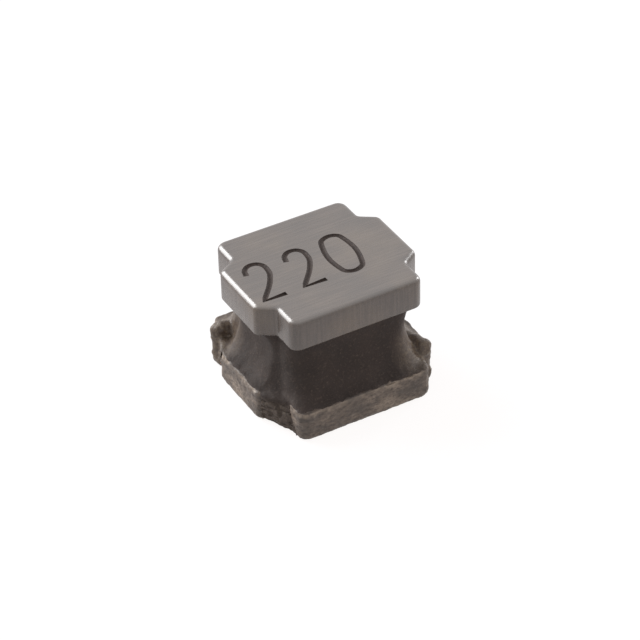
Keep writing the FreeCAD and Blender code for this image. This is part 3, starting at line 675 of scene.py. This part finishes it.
def powder_filled_resin():
    """Epoxy with iron powder: nearly black brown, matt, with a fine gritty skin. Where it is thin over
    the wire it is glossier, with pale yellowish flakes, and painted lighter, partly as painted light.
    """
    material, tree, shader = new_material("powder_filled_epoxy", IOR=1.45)
    place = node(tree, "ShaderNodeTexCoord").outputs["Object"]
    clouds = node(tree, "ShaderNodeTexNoise",
                  {"Vector": place, "Scale": METRE / 0.8, "Detail": 5}).outputs["Fac"]
    grit = node(tree, "ShaderNodeTexNoise",
                {"Vector": place, "Scale": METRE / 0.08, "Detail": 3, "Roughness": 0.7}).outputs["Fac"]
    flakes = node(tree, "ShaderNodeTexNoise",
                  {"Vector": place, "Scale": METRE / 0.11, "Detail": 4, "Distortion": 1.2}).outputs["Fac"]
    varnish_and_light = node(tree, "ShaderNodeAttribute", attribute_name="varnish_and_light").outputs["Fac"]
    base = node(tree, "ShaderNodeValToRGB", {"Fac": clouds},
                stops=[(0.25, "271F1C"), (0.75, "362C28")]).outputs["Color"]
    grit_share = node(tree, "ShaderNodeMapRange", {"Value": grit, "From Min": 0.52, "From Max": 0.72,
                                                   "To Max": 0.5}).outputs["Result"]
    base = node(tree, "ShaderNodeMix", {"Factor": grit_share, COLOUR_A: base, COLOUR_B: srgb("5F544E")},
                data_type="RGBA").outputs[COLOUR_OUT]
    # Partly painted light: the thin resin round the leads and in the spills is painted a lighter brown.
    thin_tone_and_light_share = node(tree, "ShaderNodeMath", {0: varnish_and_light, 1: 0.55}, operation="MULTIPLY").outputs["Value"]
    base = node(tree, "ShaderNodeMix", {"Factor": thin_tone_and_light_share, COLOUR_A: base, COLOUR_B: srgb("62544A")},
                data_type="RGBA").outputs[COLOUR_OUT]
    flake_share = node(tree, "ShaderNodeMapRange", {"Value": flakes, "From Min": 0.42, "From Max": 0.78,
                                                    "To Max": 0.75}).outputs["Result"]
    pale = node(tree, "ShaderNodeMath", {0: varnish_and_light, 1: flake_share}, operation="MULTIPLY").outputs["Value"]
    base = node(tree, "ShaderNodeMix", {"Factor": pale, COLOUR_A: base, COLOUR_B: srgb("7C6E5B")},
                data_type="RGBA").outputs[COLOUR_OUT]
    matt = node(tree, "ShaderNodeMapRange", {"Value": grit, "From Min": 0.3, "From Max": 0.7,
                                             "To Min": 0.7, "To Max": 0.9}).outputs["Result"]
    dullness = node(tree, "ShaderNodeMix", {"Factor": varnish_and_light, "A": matt, "B": 0.42}).outputs["Result"]
    relief = node(tree, "ShaderNodeBump", {"Height": grit, "Distance": 0.02 / METRE}).outputs["Normal"]
    drive(tree, shader, {"Base Color": base, "Roughness": dullness, "Normal": relief})
    return material


give_material(resin, powder_filled_resin())
to_metres(resin)
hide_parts("resin_shield")
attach(resin, "root")

# The terminals: silver paste, printed on the underside and in the grooves and fired on,
# then plated with nickel and tin.


def satin_tin():
    """Matt tin plating over fired silver: pale grey metal with a soft grain."""
    material, tree, shader = new_material("satin_tin_plating", Metallic=1.0)
    place = node(tree, "ShaderNodeTexCoord").outputs["Object"]
    clouds = node(tree, "ShaderNodeTexNoise", {"Vector": place, "Scale": METRE / 0.7}).outputs["Fac"]
    fine = node(tree, "ShaderNodeTexNoise", {"Vector": place, "Scale": METRE / 0.06}).outputs["Fac"]
    base = node(tree, "ShaderNodeValToRGB", {"Fac": clouds},
                stops=[(0.3, "C2C0BA"), (0.7, "D2D0CA")]).outputs["Color"]
    dullness = node(tree, "ShaderNodeMapRange", {"Value": fine, "From Min": 0.3, "From Max": 0.7,
                                                 "To Min": 0.34, "To Max": 0.5}).outputs["Result"]
    relief = node(tree, "ShaderNodeBump", {"Height": fine, "Distance": 0.006 / METRE}).outputs["Normal"]
    drive(tree, shader, {"Base Color": base, "Roughness": dullness, "Normal": relief})
    return material


tin = satin_tin()
for name in ("terminal_left", "terminal_right"):
    give_material(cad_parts[name], tin)

# The solder: tin alloy, melted into each groove round the lead end.
# It joins the lead to its terminal, and it is bright where it set.


def bright_solder():
    """Tin solder as it set: bright, with a slightly frosted skin."""
    material, tree, shader = new_material("bright_tin_solder", Metallic=1.0)
    place = node(tree, "ShaderNodeTexCoord").outputs["Object"]
    frost = node(tree, "ShaderNodeTexNoise", {"Vector": place, "Scale": METRE / 0.2}).outputs["Fac"]
    base = node(tree, "ShaderNodeValToRGB", {"Fac": frost},
                stops=[(0.3, "C9C8C4"), (0.7, "DAD9D5")]).outputs["Color"]
    dullness = node(tree, "ShaderNodeMapRange", {"Value": frost, "From Min": 0.3, "From Max": 0.7,
                                                 "To Min": 0.16, "To Max": 0.3}).outputs["Result"]
    relief = node(tree, "ShaderNodeBump", {"Height": frost, "Distance": 0.010 / METRE}).outputs["Normal"]
    drive(tree, shader, {"Base Color": base, "Roughness": dullness, "Normal": relief})
    return material


solder = bright_solder()
for name in ("solder_left", "solder_right"):
    give_material(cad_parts[name], solder)

# The stage: a white table in white surroundings, a soft lamp behind the part to its left,
# a small one to its right and a weak fill in front.
TABLE_HALF = 0.6
bm = bmesh.new()
bmesh.ops.create_grid(bm, x_segments=1, y_segments=1, size=TABLE_HALF)
table = new_piece("white_table", bm)


def seen_ray(tree):
    """1 for a ray that the camera sends, also by way of a reflection or through glass."""
    rays = node(tree, "ShaderNodeLightPath").outputs
    mirrored = node(tree, "ShaderNodeMath", {0: rays["Is Glossy Ray"], 1: rays["Is Transmission Ray"]},
                    operation="MAXIMUM").outputs["Value"]
    return node(tree, "ShaderNodeMath", {0: rays["Is Camera Ray"], 1: mirrored},
                operation="MAXIMUM").outputs["Value"]


def white_table():
    """Matt white board, drawn white to the camera with a faint warm shadow."""
    material = bpy.data.materials.new("matt_white_board")
    material.use_nodes = True
    tree = material.node_tree
    tree.nodes.clear()
    board = node(tree, "ShaderNodeBsdfDiffuse", {"Color": srgb("BDB7B1")}).outputs["BSDF"]
    shadow_catcher = node(tree, "ShaderNodeBsdfDiffuse", {"Color": srgb("595E66")}).outputs["BSDF"]
    glow = node(tree, "ShaderNodeEmission", {"Color": srgb("F8F5F3"), "Strength": 1.0}).outputs["Emission"]
    seen = node(tree, "ShaderNodeAddShader", {0: shadow_catcher, 1: glow}).outputs["Shader"]
    surface = node(tree, "ShaderNodeMixShader", {0: seen_ray(tree), 1: board, 2: seen}).outputs["Shader"]
    node(tree, "ShaderNodeOutputMaterial", {"Surface": surface})
    return material


give_material(table, white_table())

world = bpy.data.worlds.new("white_studio")
bpy.context.scene.world = world
world.use_nodes = True
tree = world.node_tree
tree.nodes.clear()
lit = node(tree, "ShaderNodeBackground",
           {"Color": srgb("FFFCFA"), "Strength": 0.55}).outputs["Background"]
white = node(tree, "ShaderNodeBackground",
             {"Color": srgb("FFFFFF"), "Strength": 1.0}).outputs["Background"]
surface = node(tree, "ShaderNodeMixShader", {0: seen_ray(tree), 1: lit, 2: white}).outputs["Shader"]
node(tree, "ShaderNodeOutputWorld", {"Surface": surface})

LAMP_DISTANCE = 0.6


def lamp(name, direction, width, height, watts):
    """A soft rectangular lamp that faces the part from a direction."""
    light = bpy.data.lights.new(name, "AREA")
    light.shape = "RECTANGLE"
    light.size, light.size_y = width, height
    light.energy = watts
    holder = bpy.data.objects.new(name, light)
    bpy.context.scene.collection.objects.link(holder)
    place = Vector(direction).normalized() * LAMP_DISTANCE
    holder.location = place
    holder.rotation_euler = (-place).to_track_quat("-Z", "Y").to_euler()
    return holder


lamp("soft_box_behind_left", (-0.42, 0.70, 0.42), width=0.46, height=0.54, watts=5.2)
lamp("lamp_right", (0.92, 0.25, 0.24), width=0.16, height=0.26, watts=1.3)
fill = lamp("fill_front_right", (0.90, -0.42, 0.12), width=0.50, height=0.30, watts=2.0)
fill.visible_glossy = False

# The camera: at the photo's angle, found by fitting the corners of both flanges
# and then the outline.
AZIMUTH, ELEVATION, ROLL = (math.radians(angle) for angle in (-29.03, 37.24, -1.49))
DISTANCE = 89.98 / METRE
FOCAL_PIXELS, FRAME_PIXELS, SENSOR_WIDTH = 2833.9, 640, 36
target = Vector((0.048, 0.058, 1.933)) / METRE
back = Vector((math.sin(AZIMUTH) * math.cos(ELEVATION), -math.cos(AZIMUTH) * math.cos(ELEVATION),
               math.sin(ELEVATION)))
right = (-back).cross(Vector((0, 0, 1))).normalized()
up = right.cross(-back)
rolled_right = right * math.cos(ROLL) + up * math.sin(ROLL)
rolled_up = up * math.cos(ROLL) - right * math.sin(ROLL)
lens = bpy.data.cameras.new("camera")
lens.sensor_width = SENSOR_WIDTH
lens.lens = FOCAL_PIXELS / FRAME_PIXELS * SENSOR_WIDTH
lens.clip_start, lens.clip_end = 0.005, 5
camera = bpy.data.objects.new("camera", lens)
bpy.context.scene.collection.objects.link(camera)
camera.matrix_world = Matrix((rolled_right, rolled_up, back)).transposed().to_4x4()
camera.location = target + back * DISTANCE
bpy.context.scene.camera = camera
bpy.context.scene.view_settings.view_transform = "Standard"
